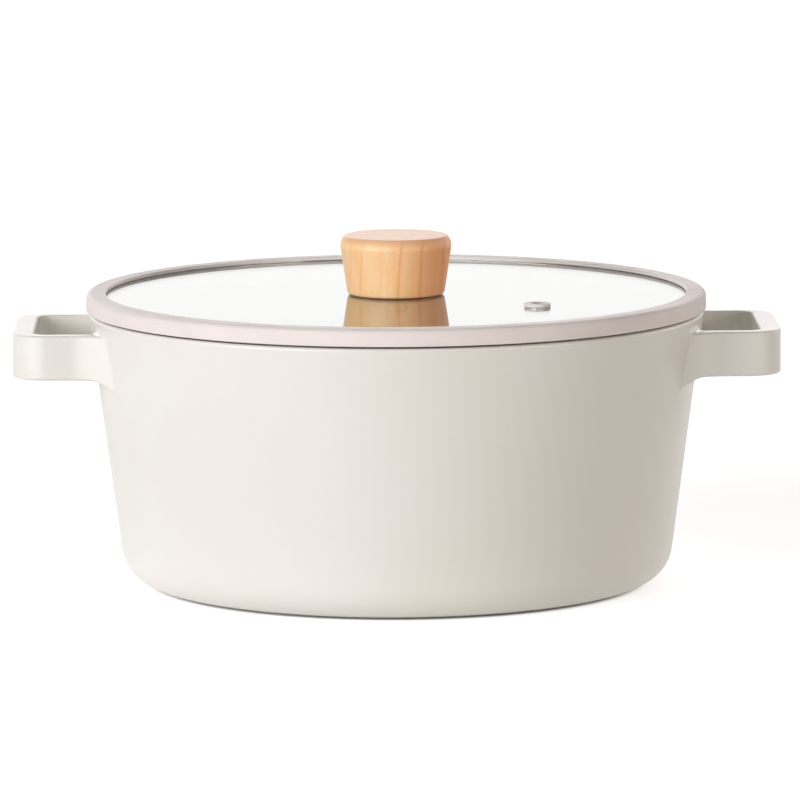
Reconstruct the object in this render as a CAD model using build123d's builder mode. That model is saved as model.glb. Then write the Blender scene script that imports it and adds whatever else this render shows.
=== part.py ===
from build123d import *
from math import cos, radians, sin, sqrt, tan
import os

# Two-handled casserole with a flat glass lid, a silicone rim and a turned wooden knob.
# Frame: Z up, origin at the middle of the underside, handles along X, millimetres and degrees.

# Pan
mouth_diameter = 240.0
wall_thickness = 4.1  # measured level
wall_draft = 7.5
pot_height = 110.4
base_corner_radius = 14.5
floor_thickness = 6.0  # from the cast underside to the inside
floor_corner_radius = 13.0
rim_outer_round = 1.3
rim_inner_round = 0.8

# Loop handles, cast in one with the pan
handle_reach = 29.8  # from the pot rim out to the outside of the bar
handle_width = 72.8
handle_bar = 8.5
handle_arm = 6.1
handle_height = 18.0
handle_drop = 5.5  # from the rim down to the top of the handles
handle_corner_radius = 14.0
handle_hole_corner_radius = 5.5
handle_edge_round = 1.2
handle_root_fillet = 2.6
handle_root_depth = 25.0  # how far the arms run in before the pan is hollowed
flare_reach = 10.5  # where the arms start to swing out, measured from the wall
flare_angle = 28.0
flare_radius = 22.0
sweep_reach = 4.6  # where the underside of the arms starts to fall, measured from the wall
sweep_angle = 30.0
sweep_radius = 10.0

# Steel plate pressed into the underside and held by cast studs
plate_margin = 3.1  # flat casting left between the plate and the rounded base corner
plate_thickness = 2.4
plate_proud = 0.8  # how far the plate stands below the casting
plate_edge_chamfer = 0.3
plate_clearance = 0.05
plate_centre_hole_diameter = 14.0
stud_diameter = 5.0
stud_sink = 0.15  # the studs end this far inside the plate
stud_ring_count = 4
stud_edge_margin = 13.0  # from the outer ring of studs to the edge of the plate
studs_in_first_ring = 6

# Glass
glass_thickness = 4.0
glass_edge_margin = 3.2  # silicone outside the glass edge
glass_edge_chamfer = 0.5
screw_hole_diameter = 8.0
vent_hole_diameter = 7.6

# Silicone rim
seal_overhang = 0.9  # beyond the outside of the pot rim
seat_gap = 0.9  # the outer lip floats this far above the pot rim
lower_lip = 1.2
upper_lip = 1.3
upper_lip_width = 8.0
glass_side_clearance = 0.2
glass_seat_clearance = 0.1
lip_gap = 0.3  # the upper lip stands this far off the glass
skirt_depth = 6.0  # below the pot rim
skirt_thickness = 2.4
skirt_clearance = 0.7  # to the mouth of the pot
skirt_draft = 12.0
skirt_edge_round = 0.8
seal_top_round = 2.2
seal_bottom_round = 0.4
seal_lip_round = 0.5

# Dark ring let into the underside of the rim, on which the lid sits
seat_gasket_width = 1.6
seat_gasket_inset = 0.3  # from the inner rounding of the pot rim
seat_gasket_sink = 0.5  # into the rim
seat_gasket_clearance = 0.05

# Steam vent
vent_offset = 70.8  # from the centre of the lid
vent_angle = -38.4
vent_flange_diameter = 10.6
vent_flange_height = 1.5
vent_under_flange_height = 1.2
vent_bore_diameter = 4.6
vent_mouth_chamfer = 0.4
vent_flange_round = 0.6
vent_seat_round = 0.4  # where the flange meets the glass
vent_neck_clearance = 0.05

# Knob
knob_height = 23.7
knob_bottom_diameter = 39.0
knob_shoulder_diameter = 44.7  # where the side starts to curve in
knob_shoulder_drop = 5.3  # from the top down to there
knob_crown_diameter = 41.2
knob_crown_round = 0.6
knob_bottom_round = 1.2
knob_gasket_thickness = 0.3
knob_gasket_inset = 1.3  # from the foot of the knob in to the edge of the gasket

# Knob fastening
screw_diameter = 5.0
screw_length = 20.0
screw_tip_chamfer = 0.6
screw_head_diameter = 9.5
screw_head_height = 3.6
screw_head_round = 1.6
recess_span = 4.9
recess_slot = 1.1
recess_depth = 2.2
insert_diameter = 8.0
insert_length = 12.0
insert_sink = 0.5  # from the underside of the knob to the insert
insert_clearance = 0.05
thread_clearance = 0.05
screw_tip_room = 2.0  # bore left above the screw
collar_clearance = 0.05
collar_short = 0.4  # the collar ends this far below the top of the glass
glass_gasket_diameter = 24.0
glass_gasket_thickness = 1.0
clamp_washer_diameter = 21.0
clamp_washer_thickness = 1.2
clamp_washer_round = 0.3
washer_bore_clearance = 0.2
lock_washer_diameter = 9.2
lock_washer_thickness = 1.2
lock_washer_slit = 0.6

# Radii and heights that follow from the sizes
wall_slope = tan(radians(wall_draft))
mouth_radius = mouth_diameter / 2
rim_radius = mouth_radius + wall_thickness
cast_bottom = plate_proud
floor_top = cast_bottom + floor_thickness
plate_recess_top = plate_thickness + plate_clearance

handle_span = 2 * (rim_radius + handle_reach)
handle_top = pot_height - handle_drop
handle_bottom = handle_top - handle_height
handle_half_width = handle_width / 2

seal_radius = rim_radius + seal_overhang
seal_bottom = pot_height + seat_gap
groove_bottom = seal_bottom + lower_lip
glass_bottom = groove_bottom + glass_seat_clearance
glass_top = glass_bottom + glass_thickness
groove_top = glass_top + lip_gap
seal_top = groove_top + upper_lip
glass_radius = seal_radius - glass_edge_margin

knob_bottom = glass_top + knob_gasket_thickness
knob_top = knob_bottom + knob_height
insert_bottom = knob_bottom + insert_sink
insert_top = insert_bottom + insert_length
gasket_bottom = glass_bottom - glass_gasket_thickness
clamp_bottom = gasket_bottom - clamp_washer_thickness
head_top = clamp_bottom - lock_washer_thickness
head_bottom = head_top - screw_head_height
screw_tip = head_top + screw_length
screw_radius = screw_diameter / 2
washer_bore_radius = screw_radius + washer_bore_clearance


def wall_radius(height):
    return rim_radius - (pot_height - height) * wall_slope


def inside_radius(height):
    return mouth_radius - (pot_height - height) * wall_slope


base_corner_run = base_corner_radius * tan(radians(45 - wall_draft / 2))
plate_radius = wall_radius(cast_bottom) - base_corner_run - plate_margin
stud_ring_pitch = (plate_radius - stud_edge_margin) / stud_ring_count


def place_studs(radius):
    # Rings of like-sized circles, six more in each ring than in the one inside it
    for ring in range(1, stud_ring_count + 1):
        with PolarLocations(ring * stud_ring_pitch, ring * studs_in_first_ring):
            Circle(radius)


os.makedirs("parts", exist_ok=True)

# Band of both loop handles. It runs through the pan, which is hollowed afterwards.
wall_at_arm = sqrt(wall_radius(handle_bottom) ** 2 - handle_half_width**2)
band_inner_end = wall_at_arm - handle_root_depth
arm_end = handle_span / 2 - handle_corner_radius
flare_start = wall_at_arm + flare_reach
flare_half_width = handle_half_width + (flare_start - band_inner_end) * tan(radians(flare_angle))
sweep_start = wall_at_arm + sweep_reach
sweep_low = handle_bottom - (sweep_start - band_inner_end) * tan(radians(sweep_angle))

with BuildPart() as handle_band:
    with BuildSketch(Plane.XY.offset(sweep_low)):
        RectangleRounded(handle_span, handle_width, handle_corner_radius)
        with BuildLine():
            Polyline(
                (flare_start, handle_half_width),
                (band_inner_end, flare_half_width),
                (-band_inner_end, flare_half_width),
                (-flare_start, handle_half_width),
                (-flare_start, -handle_half_width),
                (-band_inner_end, -flare_half_width),
                (band_inner_end, -flare_half_width),
                (flare_start, -handle_half_width),
                close=True,
            )
        make_face()
        bends = vertices().filter_by(lambda corner: abs(corner.X) < (flare_start + arm_end) / 2)
        fillet(bends, flare_radius)
        RectangleRounded(
            handle_span - 2 * handle_bar,
            handle_width - 2 * handle_arm,
            handle_hole_corner_radius,
            mode=Mode.SUBTRACT,
        )
    extrude(amount=handle_top - sweep_low)
    with BuildSketch(Plane.XZ):
        with BuildLine():
            Polyline(
                (handle_span, handle_top),
                (handle_span, handle_bottom),
                (sweep_start, handle_bottom),
                (band_inner_end, sweep_low),
                (-band_inner_end, sweep_low),
                (-sweep_start, handle_bottom),
                (-handle_span, handle_bottom),
                (-handle_span, handle_top),
                close=True,
            )
        make_face()
        bends = vertices().filter_by(lambda corner: abs(corner.X) < handle_span / 2)
        fillet(bends, sweep_radius)
    extrude(amount=handle_width, both=True, mode=Mode.INTERSECT)
    upright_faces = faces().filter_by(lambda face: abs(face.normal_at().Z) < 0.001)
    fillet(upright_faces.edges().filter_by(Axis.Z, reverse=True), handle_edge_round)

with BuildPart() as pot_body:
    with BuildSketch(Plane.XZ):
        with BuildLine():
            Polyline(
                (0, cast_bottom),
                (wall_radius(cast_bottom), cast_bottom),
                (rim_radius, pot_height),
                (0, pot_height),
                close=True,
            )
        make_face()
        foot = vertices().sort_by_distance((wall_radius(cast_bottom), cast_bottom))[0]
        fillet(foot, base_corner_radius)
    revolve(axis=Axis.Z)
    add(handle_band.part)
    fillet(edges(Select.NEW), handle_root_fillet)

    with BuildSketch(Plane.XZ):
        with BuildLine():
            Polyline(
                (0, floor_top),
                (inside_radius(floor_top), floor_top),
                (mouth_radius, pot_height),
                (0, pot_height),
                close=True,
            )
        make_face()
        corner = vertices().sort_by_distance((inside_radius(floor_top), floor_top))[0]
        fillet(corner, floor_corner_radius)
    revolve(axis=Axis.Z, mode=Mode.SUBTRACT)
    rim_face = faces().filter_by(Axis.Z).sort_by(Axis.Z)[-1]
    fillet(rim_face.edges().sort_by(SortBy.RADIUS)[-1], rim_outer_round)
    rim_face = faces().filter_by(Axis.Z).sort_by(Axis.Z)[-1]
    fillet(rim_face.edges().sort_by(SortBy.RADIUS)[0], rim_inner_round)

    with BuildSketch(Plane.XY.offset(cast_bottom)):
        Circle(plate_radius + plate_clearance)
    extrude(amount=plate_recess_top - cast_bottom, mode=Mode.SUBTRACT)
    with BuildSketch(Plane.XY.offset(stud_sink)):
        Circle(plate_centre_hole_diameter / 2 - plate_clearance)
        place_studs(stud_diameter / 2 - plate_clearance)
    extrude(amount=plate_recess_top - stud_sink)

with BuildPart() as induction_plate:
    with BuildSketch():
        Circle(plate_radius)
        Circle(plate_centre_hole_diameter / 2, mode=Mode.SUBTRACT)
    extrude(amount=plate_thickness)
    outer_edges = edges().filter_by(GeomType.CIRCLE).sort_by(SortBy.RADIUS)[-2:]
    chamfer(outer_edges, plate_edge_chamfer)
    with BuildSketch():
        place_studs(stud_diameter / 2)
    extrude(amount=plate_thickness, mode=Mode.SUBTRACT)

# Silicone rim: a channel for the glass edge, a slot for the seat ring and a skirt in the mouth of the pot
seat_inside = mouth_radius + rim_inner_round + seat_gasket_inset
seat_outside = seat_inside + seat_gasket_width
slot_inside = seat_inside - seat_gasket_clearance
slot_outside = seat_outside + seat_gasket_clearance
slot_top = seal_bottom + seat_gasket_sink
skirt_bottom = pot_height - skirt_depth
skirt_slope = tan(radians(skirt_draft))
skirt_top_radius = mouth_radius - skirt_clearance
skirt_foot_radius = skirt_top_radius - (seal_bottom - skirt_bottom) * skirt_slope
skirt_foot_inside = skirt_foot_radius - skirt_thickness
skirt_top_inside = skirt_foot_inside + (groove_bottom - skirt_bottom) * skirt_slope
lip_inside = seal_radius - upper_lip_width
groove_radius = glass_radius + glass_side_clearance

with BuildPart() as lid_rim_seal:
    with BuildSketch(Plane.XZ):
        with BuildLine():
            Polyline(
                (lip_inside, groove_top),
                (lip_inside, seal_top),
                (seal_radius, seal_top),
                (seal_radius, seal_bottom),
                (slot_outside, seal_bottom),
                (slot_outside, slot_top),
                (slot_inside, slot_top),
                (slot_inside, seal_bottom),
                (skirt_top_radius, seal_bottom),
                (skirt_foot_radius, skirt_bottom),
                (skirt_foot_inside, skirt_bottom),
                (skirt_top_inside, groove_bottom),
                (groove_radius, groove_bottom),
                (groove_radius, groove_top),
                close=True,
            )
        make_face()
        for place, rounding in (
            ((lip_inside, seal_top), seal_lip_round),
            ((seal_radius, seal_top), seal_top_round),
            ((seal_radius, seal_bottom), seal_bottom_round),
            ((skirt_foot_radius, skirt_bottom), skirt_edge_round),
            ((skirt_foot_inside, skirt_bottom), skirt_edge_round),
        ):
            fillet(vertices().sort_by_distance(place)[0], rounding)
    revolve(axis=Axis.Z)

with BuildPart() as seat_gasket:
    with BuildSketch(Plane.XY.offset(pot_height)):
        Circle(seat_outside)
        Circle(seat_inside, mode=Mode.SUBTRACT)
    extrude(amount=slot_top - pot_height)

vent_centre = (vent_offset * cos(radians(vent_angle)), vent_offset * sin(radians(vent_angle)))

with BuildPart() as lid_glass:
    with BuildSketch(Plane.XY.offset(glass_bottom)):
        Circle(glass_radius)
    extrude(amount=glass_thickness)
    chamfer(edges().filter_by(GeomType.CIRCLE), glass_edge_chamfer)
    with BuildSketch(Plane.XY.offset(glass_bottom)):
        Circle(screw_hole_diameter / 2)
        with Locations(vent_centre):
            Circle(vent_hole_diameter / 2)
    extrude(amount=glass_thickness, mode=Mode.SUBTRACT)

# Steam vent: a silicone eyelet through the glass
vent_plane = Plane(origin=(*vent_centre, 0), x_dir=(1, 0, 0), z_dir=(0, -1, 0))
vent_axis = Axis(origin=(*vent_centre, 0), direction=(0, 0, 1))
vent_flange_radius = vent_flange_diameter / 2
vent_neck_radius = vent_hole_diameter / 2 - vent_neck_clearance
vent_top = glass_top + vent_flange_height
vent_foot = glass_bottom - vent_under_flange_height

with BuildPart() as steam_vent_grommet:
    with BuildSketch(vent_plane):
        with BuildLine():
            Polyline(
                (vent_bore_diameter / 2, vent_foot),
                (vent_flange_radius, vent_foot),
                (vent_flange_radius, glass_bottom),
                (vent_neck_radius, glass_bottom),
                (vent_neck_radius, glass_top),
                (vent_flange_radius, glass_top),
                (vent_flange_radius, vent_top),
                (vent_bore_diameter / 2, vent_top),
                close=True,
            )
        make_face()
        fillet(vertices().sort_by_distance((vent_flange_radius, vent_top))[0], vent_flange_round)
        fillet(vertices().sort_by_distance((vent_flange_radius, vent_foot))[0], vent_flange_round)
        fillet(vertices().sort_by_distance((vent_flange_radius, glass_top))[0], vent_seat_round)
        chamfer(vertices().sort_by_distance((vent_bore_diameter / 2, vent_top))[0], vent_mouth_chamfer)
    revolve(axis=vent_axis)

# Knob, with a stepped bore for the insert and the end of the screw
knob_foot_radius = knob_bottom_diameter / 2
knob_shoulder_radius = knob_shoulder_diameter / 2
knob_shoulder = knob_top - knob_shoulder_drop
knob_crown_radius = knob_crown_diameter / 2

with BuildPart() as knob:
    with BuildSketch(Plane.XZ):
        with BuildLine():
            side = Line((knob_foot_radius, knob_bottom), (knob_shoulder_radius, knob_shoulder))
            TangentArc(side @ 1, (knob_crown_radius, knob_top), tangent=side % 1)
            Polyline(
                (knob_crown_radius, knob_top),
                (0, knob_top),
                (0, knob_bottom),
                (knob_foot_radius, knob_bottom),
            )
        make_face()
        fillet(vertices().sort_by_distance((knob_foot_radius, knob_bottom))[0], knob_bottom_round)
        fillet(vertices().sort_by_distance((knob_crown_radius, knob_top))[0], knob_crown_round)
    revolve(axis=Axis.Z)
    with BuildSketch(Plane.XY.offset(knob_bottom)):
        Circle(insert_diameter / 2 + insert_clearance)
    extrude(amount=insert_top - knob_bottom, mode=Mode.SUBTRACT)
    with BuildSketch(Plane.XY.offset(knob_bottom)):
        Circle(washer_bore_radius)
    extrude(amount=screw_tip + screw_tip_room - knob_bottom, mode=Mode.SUBTRACT)

with BuildPart() as knob_insert:
    with BuildSketch(Plane.XY.offset(insert_bottom)):
        Circle(insert_diameter / 2)
        Circle(screw_radius + thread_clearance, mode=Mode.SUBTRACT)
    extrude(amount=insert_length)

with BuildPart() as knob_gasket:
    with BuildSketch(Plane.XY.offset(glass_top)):
        Circle(knob_foot_radius - knob_gasket_inset)
        Circle(washer_bore_radius, mode=Mode.SUBTRACT)
    extrude(amount=knob_gasket_thickness)

with BuildPart() as glass_gasket:
    with BuildSketch(Plane.XY.offset(gasket_bottom)):
        Circle(glass_gasket_diameter / 2)
    extrude(amount=glass_gasket_thickness)
    with BuildSketch(Plane.XY.offset(glass_bottom)):
        Circle(screw_hole_diameter / 2 - collar_clearance)
    extrude(amount=glass_thickness - collar_short)
    with BuildSketch(Plane.XY.offset(gasket_bottom)):
        Circle(washer_bore_radius)
    extrude(amount=glass_gasket_thickness + glass_thickness, mode=Mode.SUBTRACT)

with BuildPart() as clamp_washer:
    with BuildSketch(Plane.XY.offset(clamp_bottom)):
        Circle(clamp_washer_diameter / 2)
        Circle(washer_bore_radius, mode=Mode.SUBTRACT)
    extrude(amount=clamp_washer_thickness)
    lower_edges = faces().sort_by(Axis.Z)[0].edges()
    fillet(lower_edges.sort_by(SortBy.RADIUS)[-1], clamp_washer_round)

with BuildPart() as lock_washer:
    with BuildSketch(Plane.XY.offset(head_top)):
        Circle(lock_washer_diameter / 2)
        Circle(washer_bore_radius, mode=Mode.SUBTRACT)
        with Locations((lock_washer_diameter / 2, 0)):
            Rectangle(lock_washer_diameter, lock_washer_slit, mode=Mode.SUBTRACT)
    extrude(amount=lock_washer_thickness)

with BuildPart() as knob_screw:
    with BuildSketch(Plane.XY.offset(head_bottom)):
        Circle(screw_head_diameter / 2)
    extrude(amount=screw_head_height)
    fillet(faces().sort_by(Axis.Z)[0].edges(), screw_head_round)
    with BuildSketch(Plane.XY.offset(head_top)):
        Circle(screw_radius)
    extrude(amount=screw_length)
    chamfer(faces().sort_by(Axis.Z)[-1].edges(), screw_tip_chamfer)
    with BuildSketch(Plane.XY.offset(head_bottom)):
        Rectangle(recess_span, recess_slot)
        Rectangle(recess_slot, recess_span)
    extrude(amount=recess_depth, mode=Mode.SUBTRACT)

for label, piece in (
    ("pot_body", pot_body),
    ("induction_plate", induction_plate),
    ("lid_rim_seal", lid_rim_seal),
    ("seat_gasket", seat_gasket),
    ("lid_glass", lid_glass),
    ("steam_vent_grommet", steam_vent_grommet),
    ("knob", knob),
    ("knob_insert", knob_insert),
    ("knob_gasket", knob_gasket),
    ("glass_gasket", glass_gasket),
    ("clamp_washer", clamp_washer),
    ("lock_washer", lock_washer),
    ("knob_screw", knob_screw),
):
    piece.part.label = label
    export_step(piece.part, f"parts/{label}.step")
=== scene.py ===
import bmesh
import bpy
from math import cos, pi, radians, sin, tan
from mathutils import Matrix, Vector


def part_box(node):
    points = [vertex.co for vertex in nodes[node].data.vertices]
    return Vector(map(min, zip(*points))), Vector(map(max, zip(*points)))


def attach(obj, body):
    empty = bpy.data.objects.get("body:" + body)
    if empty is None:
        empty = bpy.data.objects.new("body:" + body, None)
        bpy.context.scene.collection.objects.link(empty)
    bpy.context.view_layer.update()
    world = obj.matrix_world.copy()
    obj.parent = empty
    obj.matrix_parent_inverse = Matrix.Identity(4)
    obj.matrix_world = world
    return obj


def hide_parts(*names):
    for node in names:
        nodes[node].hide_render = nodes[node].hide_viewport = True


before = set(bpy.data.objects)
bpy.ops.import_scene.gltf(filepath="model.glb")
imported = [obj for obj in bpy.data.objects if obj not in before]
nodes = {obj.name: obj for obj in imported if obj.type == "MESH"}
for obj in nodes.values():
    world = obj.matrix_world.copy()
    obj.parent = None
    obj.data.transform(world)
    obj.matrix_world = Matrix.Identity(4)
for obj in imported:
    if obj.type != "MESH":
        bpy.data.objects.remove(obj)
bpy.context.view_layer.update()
scene = bpy.context.scene
scene.view_settings.view_transform = "Standard"
print("frame loaded:", ", ".join(sorted(nodes)))


class Wire:  # one output socket; + - * ** on it add Math nodes, node() adds any other kind
    def __init__(self, tree, socket=None):
        self.tree, self.socket = tree, socket

    def node(self, kind, settings=None, sockets=None, out=0):
        made = self.tree.nodes.new("ShaderNode" + kind)
        for name, value in (settings or {}).items():
            setattr(made, name, value)
        for key, value in (sockets or {}).items():
            if isinstance(value, Wire):
                self.tree.links.new(value.socket, made.inputs[key])
            else:
                made.inputs[key].default_value = value
        return Wire(self.tree, made.outputs[out])

    def other(self, out):  # another output of the same node
        return Wire(self.tree, self.socket.node.outputs[out])

    def maths(self, operation, *values):
        return self.node("Math", {"operation": operation}, dict(enumerate(values)))

    def __add__(self, other):
        return self.maths("ADD", self, other)

    def __sub__(self, other):
        return self.maths("SUBTRACT", self, other)

    def __rsub__(self, other):
        return self.maths("SUBTRACT", other, self)

    def __mul__(self, other):
        return self.maths("MULTIPLY", self, other)

    def __pow__(self, other):
        return self.maths("POWER", self, other)

    def __rpow__(self, other):
        return self.maths("POWER", other, self)

    __radd__, __rmul__ = __add__, __mul__


def srgb(red, green, blue):  # a colour as a paint card gives it, 0 to 255
    return (*(((c / 255 + 0.055) / 1.055) ** 2.4 for c in (red, green, blue)), 1)


black, white = (0, 0, 0, 1), (1, 1, 1, 1)
noiseReach = (0.3, 0.7)  # where nearly all values of a noise lie


def newFinish(name, constants=None):  # constants are what is the same all over the surface
    material = bpy.data.materials.new(name)
    material.use_nodes = True
    shader = material.node_tree.nodes["Principled BSDF"]
    for socket, value in (constants or {}).items():
        shader.inputs[socket].default_value = value
    return material, shader, Wire(material.node_tree)


def feed(node, socket, wire):
    wire.tree.links.new(wire.socket, node.inputs[socket])


def mixColour(wire, share, first, second):
    return wire.node("Mix", {"data_type": "RGBA"}, {0: share, 6: first, 7: second}, out=2)


def mixValue(first, second, share):  # share of the first value, the rest from the second
    return first * share + second * (1 - share)


def coords(wire, stretch=(1, 1, 1), turn=(0, 0, 0), shift=(0, 0, 0)):  # metres in the part's own frame
    place = wire.node("TexCoord", out="Object")
    return wire.node("Mapping", sockets={"Vector": place, "Scale": stretch,
                                         "Rotation": turn, "Location": shift})


def noise(wire, place, scale, detail=2, roughness=0.5):
    return wire.node("TexNoise", sockets={"Vector": place, "Scale": scale,
                                          "Detail": detail, "Roughness": roughness})


def remap(wire, value, fromLow, fromHigh, toLow, toHigh):
    ends = {1: fromLow, 2: fromHigh, 3: toLow, 4: toHigh}
    return wire.node("MapRange", {"clamp": True}, {0: value, **ends})


def spread(wire, cloud, low=0, high=1):  # a noise over the whole of low to high
    return remap(wire, cloud, *noiseReach, low, high)


def radiusOf(wire, place):  # distance from the upright axis
    across = wire.node("SeparateXYZ", sockets={"Vector": place}, out="X")
    along = across.other("Y")
    return (across * across + along * along) ** 0.5


def bump(wire, height, strength, distance):
    return wire.node("Bump", sockets={"Height": height, "Strength": strength, "Distance": distance})


def dress(material, *names):
    for name in names:
        nodes[name].data.materials.clear()
        nodes[name].data.materials.append(material)


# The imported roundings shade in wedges, so the pieces seen most get a skin
# of the same shape with even facets
skins = {"sharpAngle": 30, "weld": 0.000001, "roundSteps": 10, "turnSteps": 288, "mmPerMetre": 1000}


def addSkin(name, work, node, body, material):
    bmesh.ops.recalc_face_normals(work, faces=work.faces)
    for face in work.faces:
        face.smooth = True
    for edge in work.edges:
        edge.smooth = edge.calc_face_angle(0) < radians(skins["sharpAngle"])
    mesh = bpy.data.meshes.new(name)
    work.to_mesh(mesh)
    work.free()
    mesh.materials.append(material)
    skin = bpy.data.objects.new(name, mesh)
    scene.collection.objects.link(skin)
    even = skin.modifiers.new("evenNormals", "WEIGHTED_NORMAL")
    even.keep_sharp = True
    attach(skin, body)
    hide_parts(node)


def roundCorners(corners):  # (out, up, rounding) in millimetres, to points in metres
    points = []
    for place, (out, up, rounding) in enumerate(corners):
        corner = Vector((out, up))
        if rounding:
            before = (Vector(corners[place - 1][:2]) - corner).normalized()
            after = (Vector(corners[(place + 1) % len(corners)][:2]) - corner).normalized()
            half = before.angle(after) / 2
            middle = corner + (before + after).normalized() * rounding / sin(half)
            start = corner + before * rounding / tan(half) - middle
            sweep = start.angle_signed(corner + after * rounding / tan(half) - middle)
            for step in range(skins["roundSteps"] + 1):
                turn = Matrix.Rotation(-sweep * step / skins["roundSteps"], 2)
                points.append((middle + turn @ start) / skins["mmPerMetre"])
        else:
            points.append(corner / skins["mmPerMetre"])
    return points


def turnedPiece(name, node, body, material, corners, axis=(0, 0)):
    work = bmesh.new()
    section = [work.verts.new((point.x, 0, point.y)) for point in roundCorners(corners)]
    outline = [work.edges.new((vert, section[place - 1])) for place, vert in enumerate(section)]
    bmesh.ops.spin(work, geom=section + outline, axis=(0, 0, 1), angle=2 * pi,
                   steps=skins["turnSteps"], use_merge=True)
    bmesh.ops.remove_doubles(work, verts=work.verts, dist=skins["weld"])
    bmesh.ops.translate(work, verts=work.verts, vec=(*axis, 0))
    addSkin(name, work, node, body, material)


# Ivory ceramic coat on the casting: satin, with orange peel and a slow drift of tone
ivory = {
    "pale": srgb(234, 232, 225), "warm": srgb(230, 227, 218),
    "coat": 0.2, "coatRoughness": 0.22, "roughness": (0.34, 0.44),
    "driftScale": 14, "driftInTone": 0.7, "toneReach": (0.35, 0.65),
    "grainScale": 1900, "grainInGloss": 0.6,
    "peelScale": 620, "peelSoftness": 0.4, "peelStrength": 0.5, "peelHeight": 0.00003,
}


def ivoryCoat():
    material, shader, wire = newFinish("ivoryCoat", {
        "Coat Weight": ivory["coat"], "Coat Roughness": ivory["coatRoughness"]})
    place = coords(wire)
    drift = noise(wire, place, ivory["driftScale"], detail=3)
    grain = noise(wire, place, ivory["grainScale"])
    tone = remap(wire, mixValue(drift, grain, ivory["driftInTone"]), *ivory["toneReach"], 0, 1)
    feed(shader, "Base Color", mixColour(wire, tone, ivory["pale"], ivory["warm"]))
    gloss = mixValue(grain, drift, ivory["grainInGloss"])
    feed(shader, "Roughness", spread(wire, gloss, *ivory["roughness"]))
    peel = noise(wire, place, ivory["peelScale"], roughness=ivory["peelSoftness"])
    feed(shader, "Normal", bump(wire, peel, ivory["peelStrength"], ivory["peelHeight"]))
    return material


# The pot rim's two roundings and its flat top are drawn again from the open edges of the wall
rim = {
    "top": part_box("pot_body")[1][2], "draught": radians(7.5), "between": 0.122, "slack": 0.00001,
    "outside": (0.1241, 0.0013, 1), "mouth": (0.12, 0.0008, -1),  # radius, rounding, side
}


def onRim(vert):
    wall = rim["outside"] if vert.co.xy.length > rim["between"] else rim["mouth"]
    rounding, side = wall[1:]
    return vert.co.z > rim["top"] - rounding * (1 + side * sin(rim["draught"])) - rim["slack"]


def turnRim(work):
    rimFaces = [face for face in work.faces if all(onRim(vert) for vert in face.verts)]
    bmesh.ops.delete(work, geom=rimFaces, context="FACES")
    openEdges = [edge for edge in work.edges if edge.is_boundary]
    rings = []
    for radius, rounding, side in (rim["outside"], rim["mouth"]):
        middle = radius - rounding * tan(rim["draught"]) - side * rounding / cos(rim["draught"])
        first = -side * rim["draught"]
        ring = [edge for edge in openEdges if side * (edge.verts[0].co.xy.length - middle) > 0]
        for step in range(skins["roundSteps"]):
            angle = first + (pi / 2 - first) * (step + 1) / skins["roundSteps"]
            grown = bmesh.ops.extrude_edge_only(work, edges=ring)["geom"]
            for vert in [piece for piece in grown if isinstance(piece, bmesh.types.BMVert)]:
                flat = vert.co.xy.normalized() * (middle + side * rounding * cos(angle))
                vert.co = (flat.x, flat.y, rim["top"] - rounding + rounding * sin(angle))
            ring = [piece for piece in grown
                    if isinstance(piece, bmesh.types.BMEdge) and piece.is_boundary]
        rings += ring
    bmesh.ops.bridge_loops(work, edges=rings)


casting = bmesh.new()
casting.from_mesh(nodes["pot_body"].data)
bmesh.ops.remove_doubles(casting, verts=casting.verts, dist=skins["weld"])
turnRim(casting)
addSkin("castPot", casting, "pot_body", "pot", ivoryCoat())
print("ivory coat on the pot")

# Stainless plate under the pot, with the fine rings of the lathe
plate = {
    "steel": srgb(186, 184, 180), "shade": srgb(150, 148, 144),
    "brushing": 0.4, "roughness": (0.22, 0.42),
    "ringsPerMetre": 1400, "ringDepth": 0.4, "ringStrength": 0.6, "ringHeight": 0.00002,
    "unevenScale": 900, "unevenInTone": 0.6, "stainScale": 22,
}


def turnedSteel():
    material, shader, wire = newFinish("turnedSteel", {"Metallic": 1, "Anisotropic": plate["brushing"]})
    place = coords(wire)
    radius = radiusOf(wire, place)
    rings = wire.maths("SINE", radius * (plate["ringsPerMetre"] * 2 * pi)) * 0.5 + 0.5
    outward = wire.node("CombineXYZ", sockets={"X": radius * plate["unevenScale"]})
    uneven = noise(wire, outward, 1, detail=3)
    darkening = noise(wire, place, plate["stainScale"], detail=4)
    tone = spread(wire, mixValue(uneven, darkening, plate["unevenInTone"]))
    feed(shader, "Base Color", mixColour(wire, tone, plate["steel"], plate["shade"]))
    feed(shader, "Roughness", spread(wire, uneven, *plate["roughness"]))
    grooves = rings * plate["ringDepth"] + uneven
    feed(shader, "Normal", bump(wire, grooves, plate["ringStrength"], plate["ringHeight"]))
    return material


dress(turnedSteel(), "induction_plate")
print("turned steel on the plate")
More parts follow.
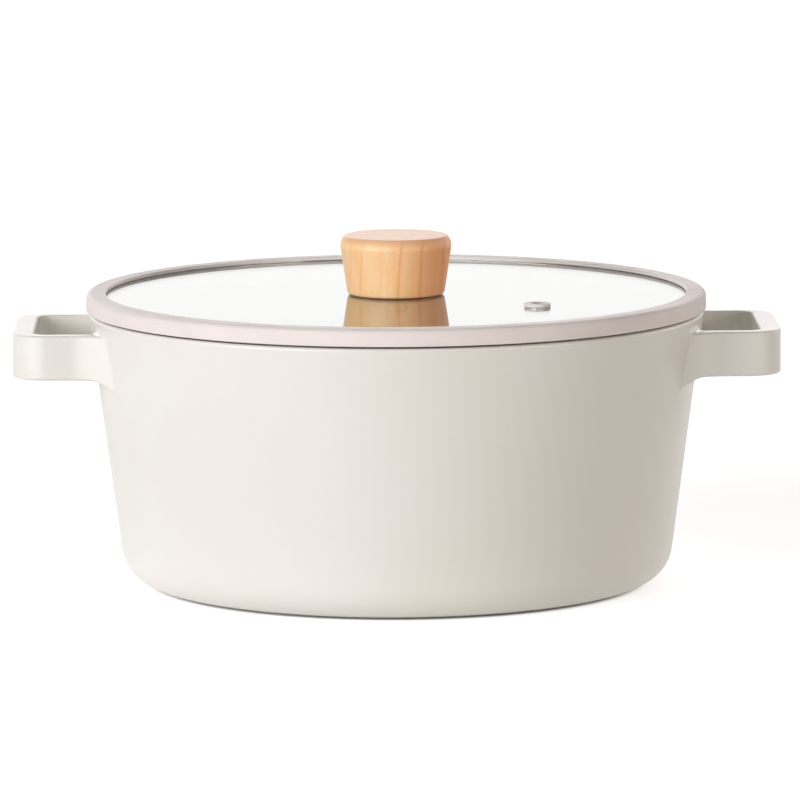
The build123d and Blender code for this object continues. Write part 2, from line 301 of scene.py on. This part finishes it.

# Beige silicone of the lid rim and the steam vent, with a pale bloom, and painted shade inside the vent
# hole
silicone = {
    # the third colour is painted shade for the inside of the vent hole
    "pale": srgb(237, 229, 224), "deep": srgb(230, 221, 215), "holeShade": srgb(74, 62, 54),
    "bloom": (1.0, 0.95, 0.93, 1), "bloomWeight": 0.4, "bloomRoughness": 0.8,
    "glow": 0.12, "glowDepth": 0.002, "shine": 0.3, "roughness": (0.42, 0.58),
    "cloudScale": 45, "cloudInGloss": 0.5,
    "grainScale": 2600, "grainStrength": 0.4, "grainHeight": 0.00002,
    "rimSection": [  # out, up, rounding
        (117, 116.9, 0), (117, 118.2, 0.5), (125, 118.2, 2.2), (125, 111.3, 0.4), (122.75, 111.3, 0),
        (122.75, 111.8, 0), (121.05, 111.8, 0), (121.05, 111.3, 0), (119.3, 111.3, 0),
        (117.833, 104.4, 0.8), (115.433, 104.4, 0.8), (117.155, 112.5, 0),
        (122, 112.5, 0), (122, 116.9, 0),
    ],
    "ventSection": [
        (2.3, 111.4, 0), (5.3, 111.4, 0.6), (5.3, 112.6, 0), (3.75, 112.6, 0), (3.75, 116.6, 0),
        (5.3, 116.6, 0.4), (5.3, 118.1, 0.6), (2.7, 118.1, 0), (2.3, 117.7, 0),
    ],
    # the vent's place, then the share and the reach from the vent's axis of the painted shade in its
    # hole
    "ventOut": 0.0708, "ventTurn": -38.4, "holeShadeShare": 0.85, "holeShadeReach": (0.0023, 0.0026),
}
ventTurn = radians(silicone["ventTurn"])
ventAxis = (silicone["ventOut"] * cos(ventTurn), silicone["ventOut"] * sin(ventTurn))


def beigeSilicone(name, darkening=0):
    material, shader, wire = newFinish(name, {
        "Specular IOR Level": silicone["shine"],
        "Subsurface Weight": silicone["glow"], "Subsurface Scale": silicone["glowDepth"],
        "Sheen Weight": silicone["bloomWeight"], "Sheen Roughness": silicone["bloomRoughness"],
        "Sheen Tint": silicone["bloom"]})
    place = coords(wire)
    cloud = noise(wire, place, silicone["cloudScale"], detail=3)
    grain = noise(wire, place, silicone["grainScale"])
    colour = mixColour(wire, spread(wire, cloud), silicone["pale"], silicone["deep"])
    if darkening:  # painted shade, darker inside the hole where steam goes through
        fromVent = radiusOf(wire, coords(wire, shift=(-ventAxis[0], -ventAxis[1], 0)))
        paintedHoleShade = remap(wire, fromVent, *silicone["holeShadeReach"], darkening, 0)
        colour = mixColour(wire, paintedHoleShade, colour, silicone["holeShade"])
    feed(shader, "Base Color", colour)
    gloss = mixValue(cloud, grain, silicone["cloudInGloss"])
    feed(shader, "Roughness", spread(wire, gloss, *silicone["roughness"]))
    feed(shader, "Normal", bump(wire, grain, silicone["grainStrength"], silicone["grainHeight"]))
    return material


turnedPiece("lidRim", "lid_rim_seal", "lid_rim",
            beigeSilicone("rimSilicone"), silicone["rimSection"])
turnedPiece("steamVent", "steam_vent_grommet", "lid_panel",
            beigeSilicone("ventSilicone", silicone["holeShadeShare"]), silicone["ventSection"], ventAxis)
print("silicone on the lid rim and the vent")

# Toughened glass; light that falls into the pot goes straight through, less what the surface mirrors
pane = {
    "tint": (0.95, 0.97, 0.96, 1), "shade": (0.9, 0.91, 0.9, 1), "bend": 1.5, "mirrorRoughness": 0.05,
    "smearScale": 30, "smearRoughness": 0.6, "smearReach": (0.5, 0.8), "smearHaze": 0.02,
}


def toughenedGlass():
    material, shader, wire = newFinish("toughenedGlass", {
        "Base Color": pane["tint"], "IOR": pane["bend"], "Transmission Weight": 1})
    smear = noise(wire, coords(wire), pane["smearScale"], detail=4, roughness=pane["smearRoughness"])
    feed(shader, "Roughness", remap(wire, smear, *pane["smearReach"], 0, pane["smearHaze"]))
    clear = wire.node("BsdfTransparent", sockets={"Color": pane["shade"]})
    mirror = wire.node("BsdfGlossy", sockets={"Roughness": pane["mirrorRoughness"]})
    glancing = wire.node("Fresnel", sockets={"IOR": pane["bend"]})
    thrown = wire.node("MixShader", sockets={0: glancing, 1: clear, 2: mirror})
    shadowRay = wire.node("LightPath", out="Is Shadow Ray")
    lightRay = wire.maths("MAXIMUM", shadowRay, shadowRay.other("Is Diffuse Ray"))
    glass = Wire(wire.tree, shader.outputs[0])
    surface = wire.node("MixShader", sockets={0: lightRay, 1: glass, 2: thrown})
    feed(wire.tree.nodes["Material Output"], "Surface", surface)
    return material


dress(toughenedGlass(), "lid_glass")
print("glass on the lid")

# Beech of the knob: upright grain in soft bands, short flecks, and a few growth rings
# that each end in a faint line
beech = {
    "light": srgb(251, 214, 165), "mid": srgb(251, 199, 140), "deep": srgb(249, 174, 113),
    "end": srgb(238, 184, 140), "line": srgb(214, 124, 60), "fleck": srgb(220, 150, 96),
    "oil": 0.15, "oilRoughness": 0.28, "roughness": (0.4, 0.55),
    "glow": 0.3, "glowColour": (1.0, 0.4, 0.15), "glowDepth": 0.004,
    "ringTurn": 8, "ringLean": -0.11, "ringCurve": 3.0, "ringAt": 0.0102, "ringWander": 0.0035,
    "rings": [  # place in metres, strength
        (-0.0205, 0.15), (-0.0145, 0.22), (-0.006, 0.1), (0.0015, 0.3), (0.0095, 0.35), (0.0162, 0.4),
    ],
    "lateWood": (0.006, 0.002), "ringLine": (0.0009, 0.0007),  # rise to a ring's end, fall after it
    "wander": ((60, 60, 40), 2, 0.5), "drift": ((110, 110, 45), 2, 0.5),  # stretch, detail, roughness
    "bands": ((300, 300, 14), 3, 0.55), "fibres": ((1900, 1900, 60), 3, 0.6),
    "flecks": ((1900, 1900, 420), 1, 0.5), "fleckReach": (0.68, 0.76), "fleckShare": 0.25,
    "driftInTone": 0.6, "fibresInTone": 0.3, "lateInTone": 0.5, "toneReach": (0.75, 1.25),
    "lateInDepth": 0.006, "deepReach": (0, 0.016), "deepShare": 0.95,
    "endFrom": (0.1375, 0.1395), "endShare": 0.75, "endLine": 0.35,
    "fibreDepth": 0.4, "fleckDepth": 0.3, "grainStrength": 0.35, "grainHeight": 0.00004,
    "section": [  # out, up, rounding
        (4.05, 116.9, 0), (19.5, 116.9, 1.2), (22.829, 138.394, 5.6), (20.6, 140.6, 0.6), (0, 140.6, 0),
        (0, 131.2, 0), (2.7, 131.2, 0), (2.7, 129.4, 0), (4.05, 129.4, 0),
    ],
}


def woodNoise(wire, kind):
    stretch, detail, roughness = beech[kind]
    return noise(wire, coords(wire, stretch=stretch), 1, detail, roughness)


def ridge(wire, past, before, after, height):  # rises to height where past is 0, then falls
    return remap(wire, past, -before, 0, 0, height) * remap(wire, past, 0, after, 1, 0)


def beechWood():
    material, shader, wire = newFinish("beechWood", {
        "Coat Weight": beech["oil"], "Coat Roughness": beech["oilRoughness"],
        "Subsurface Weight": beech["glow"], "Subsurface Radius": beech["glowColour"],
        "Subsurface Scale": beech["glowDepth"]})
    place = coords(wire, turn=(0, 0, radians(beech["ringTurn"])))
    across = wire.node("SeparateXYZ", sockets={"Vector": place}, out="X")
    along, up = across.other("Y"), across.other("Z")
    wander = woodNoise(wire, "wander") - 0.5
    depth = across + up * beech["ringLean"] + along * along * beech["ringCurve"]
    depth = depth + wander * beech["ringWander"] + beech["ringAt"]
    late = line = 0
    for ringPlace, strength in beech["rings"]:
        past = depth - ringPlace
        late = late + ridge(wire, past, *beech["lateWood"], strength)
        line = line + ridge(wire, past, *beech["ringLine"], strength)
    fibres, bands, drift = (woodNoise(wire, kind) for kind in ("fibres", "bands", "drift"))
    flecks = remap(wire, woodNoise(wire, "flecks"), *beech["fleckReach"], 0, 1)
    mottle = bands + drift * beech["driftInTone"] + fibres * beech["fibresInTone"]
    mottle = mottle + late * beech["lateInTone"]
    tone = remap(wire, mottle, *beech["toneReach"], 0, 1)
    colour = mixColour(wire, tone, beech["light"], beech["mid"])
    deep = remap(wire, depth + late * beech["lateInDepth"], *beech["deepReach"], 0, beech["deepShare"])
    colour = mixColour(wire, deep, colour, beech["deep"])
    endTone = remap(wire, up, *beech["endFrom"], 0, beech["endShare"])
    colour = mixColour(wire, endTone, colour, beech["end"])
    lineShare = line * remap(wire, up, *beech["endFrom"], 1, beech["endLine"])  # fainter on the top
    colour = mixColour(wire, lineShare, colour, beech["line"])
    colour = mixColour(wire, flecks * beech["fleckShare"], colour, beech["fleck"])
    feed(shader, "Base Color", colour)
    feed(shader, "Roughness", spread(wire, fibres, *beech["roughness"]))
    pores = fibres * beech["fibreDepth"] - flecks * beech["fleckDepth"]
    feed(shader, "Normal", bump(wire, pores, beech["grainStrength"], beech["grainHeight"]))
    return material


turnedPiece("turnedKnob", "knob", "lid_panel", beechWood(), beech["section"])
print("beech on the knob")

# Fastening under the knob: brass insert, bright steel screw and washers
metal = {
    "brass": (srgb(214, 178, 106), srgb(168, 128, 66)), "brassRoughness": (0.25, 0.4),
    "bright": (srgb(206, 205, 202), srgb(168, 167, 165)), "brightRoughness": (0.18, 0.34),
    "cloudScale": 260, "fineScale": 4200, "fineInGloss": 0.5, "fineStrength": 0.3, "fineHeight": 0.00001,
}


def plainMetal(name, colours, roughness):
    material, shader, wire = newFinish(name, {"Metallic": 1})
    place = coords(wire)
    cloud = noise(wire, place, metal["cloudScale"], detail=3)
    fine = noise(wire, place, metal["fineScale"])
    feed(shader, "Base Color", mixColour(wire, spread(wire, cloud), *colours))
    gloss = mixValue(fine, cloud, metal["fineInGloss"])
    feed(shader, "Roughness", spread(wire, gloss, *roughness))
    feed(shader, "Normal", bump(wire, fine, metal["fineStrength"], metal["fineHeight"]))
    return material


dress(plainMetal("insertBrass", metal["brass"], metal["brassRoughness"]), "knob_insert")
dress(plainMetal("brightSteel", metal["bright"], metal["brightRoughness"]),
      "clamp_washer", "lock_washer", "knob_screw")
print("metal under the knob")

# Gaskets: dark under the rim and the glass, brown at the foot of the knob; the dark under the rim is
# painted shade of the gap below the lid rim, the brown is painted shade of the crevice under the knob
gasket = {
    # the dark pair is the glass gasket's own dark grey and painted shade of the gap under the lid rim;
    # the brown pair is painted shade of the crevice under the knob
    "dark": (srgb(48, 38, 30), srgb(66, 54, 44)), "brown": (srgb(124, 66, 34), srgb(148, 86, 50)),
    "roughness": (0.5, 0.65), "cloudScale": 300,
    "fineScale": 3000, "fineStrength": 0.3, "fineHeight": 0.00001,
}


def gasketSilicone(name, colours):
    material, shader, wire = newFinish(name)
    place = coords(wire)
    cloud = noise(wire, place, gasket["cloudScale"], detail=3)
    fine = noise(wire, place, gasket["fineScale"])
    feed(shader, "Base Color", mixColour(wire, cloud, *colours))
    feed(shader, "Roughness", spread(wire, cloud, *gasket["roughness"]))
    feed(shader, "Normal", bump(wire, fine, gasket["fineStrength"], gasket["fineHeight"]))
    return material


# on the seat gasket this dark colour is painted shade, the dark line of the gap under the lid rim; on
# the glass gasket it is its own dark grey
dress(gasketSilicone("darkSiliconeAndGapShade", gasket["dark"]), "seat_gasket", "glass_gasket")
# brown here is painted shade, the reddish crevice where the knob's foot meets the glass
dress(gasketSilicone("brownCreviceShade", gasket["brown"]), "knob_gasket")
print("gaskets under the rim, the glass and the knob")

# Floor, light and surroundings
studio = {
    "floorHalf": 15, "floorSeen": (0.9, 0.9, 0.9, 1), "floorBounce": (0.84, 0.82, 0.79, 1),
    "floorRoughness": 0.9, "lift": 0.66, "liftReach": (0.0973, 0.1015),
    "fill": (1.0, 0.93, 0.91, 1), "fillStrength": 0.01, "lampAim": (0, 0, 0.06),
}
lamps = {  # azimuth, elevation, distance, size, power, colour
    "keyLow": (-42, 9, 2.4, (1.8, 0.7), 31, (1.0, 1.0, 1.07)),
    "keyHigh": (-52, 22, 2.4, (1.4, 1.2), 16.8, (1.0, 0.98, 0.94)),
    "sideLeft": (-95, 14, 2.4, (1.2, 1.0), 1.3, (1.0, 1.0, 1.0)),
    "frontRight": (51, 8, 2.4, (1.2, 0.6), 14.8, (1.0, 0.92, 0.85)),
    "rimRight": (118, 16, 2.4, (1.2, 1.2), 8.4, (1.0, 0.97, 0.95)),
    "topSoft": (0, 60, 2.4, (1.8, 1.2), 3.5, (1.0, 0.96, 0.94)),
    "backHigh": (180, 28, 3.0, (3.0, 1.0), 33.5, (1.0, 0.92, 0.92)),
    "backPanel": (180, 11, 3.0, (3.0, 1.1), 4.5, (1.0, 0.99, 0.97)),
}


def towards(azimuth, elevation):  # degrees, azimuth 0 is the front
    az, el = radians(azimuth), radians(elevation)
    return Vector((sin(az) * cos(el), -cos(az) * cos(el), sin(el)))


def softBox(name, azimuth, elevation, distance, size, power, colour):
    data = bpy.data.lights.new(name, "AREA")
    data.shape = "RECTANGLE"
    data.size, data.size_y = size
    data.energy, data.color = power, colour
    lamp = bpy.data.objects.new(name, data)
    lamp.location = towards(azimuth, elevation) * distance
    aim = Vector(studio["lampAim"]) - lamp.location
    lamp.rotation_euler = aim.to_track_quat("-Z", "Y").to_euler()
    lamp.visible_camera = False
    scene.collection.objects.link(lamp)


def backdropRay(wire):  # 1 for what the camera sees straight, mirrored or through glass
    camera = wire.node("LightPath", out="Is Camera Ray")
    mirrored = wire.maths("MAXIMUM", camera, camera.other("Is Glossy Ray"))
    return wire.maths("MAXIMUM", mirrored, camera.other("Is Transmission Ray"))


def layFloor():
    mesh = bpy.data.meshes.new("floor")
    half = studio["floorHalf"]
    corners = [(-half, -half, 0), (half, -half, 0), (half, half, 0), (-half, half, 0)]
    mesh.from_pydata(corners, [], [(0, 1, 2, 3)])
    floor = bpy.data.objects.new("floor", mesh)
    scene.collection.objects.link(floor)
    material, shader, wire = newFinish("paleFloor", {
        "Base Color": studio["floorSeen"], "Roughness": studio["floorRoughness"],
        "Specular IOR Level": 0, "Emission Strength": 1})
    level = remap(wire, radiusOf(wire, coords(wire)), *studio["liftReach"], 0, studio["lift"])
    feed(shader, "Emission Color", mixColour(wire, level, black, white))  # none under the pot itself
    bounce = wire.node("BsdfDiffuse", sockets={"Color": studio["floorBounce"]})
    seen = Wire(wire.tree, shader.outputs[0])
    floorLight = wire.node("MixShader", sockets={0: backdropRay(wire), 1: bounce, 2: seen})
    feed(wire.tree.nodes["Material Output"], "Surface", floorLight)
    mesh.materials.append(material)


def surround():
    world = bpy.data.worlds.new("surround")
    world.use_nodes = True
    scene.world = world
    wire = Wire(world.node_tree)
    fill = wire.node("Background", sockets={"Color": studio["fill"], "Strength": studio["fillStrength"]})
    pale = wire.node("Background", sockets={"Color": white, "Strength": 1})
    sky = wire.node("MixShader", sockets={0: backdropRay(wire), 1: fill, 2: pale})
    feed(wire.tree.nodes["World Output"], "Surface", sky)


layFloor()
surround()
for name, settings in lamps.items():
    softBox(name, *settings)
print("floor and light set")

# Camera at the photo's angle, with its long lens
view = {
    "aim": (0.0014, 0, 0.0733), "azimuth": -0.888, "elevation": 7.93, "roll": -0.252,
    "distance": 2.9168, "lens": 324.7, "sensor": 36, "farClip": 60,
}


def setCamera():
    data = bpy.data.cameras.new("photoCamera")
    data.lens, data.sensor_width = view["lens"], view["sensor"]
    data.clip_end = view["farClip"]
    camera = bpy.data.objects.new("photoCamera", data)
    back = towards(view["azimuth"], view["elevation"])
    upright = (-back).to_track_quat("-Z", "Y").to_matrix().to_4x4()
    turn = upright @ Matrix.Rotation(radians(view["roll"]), 4, "Z")
    camera.matrix_world = Matrix.Translation(Vector(view["aim"]) + back * view["distance"]) @ turn
    scene.collection.objects.link(camera)
    scene.camera = camera


setCamera()
print("camera set")
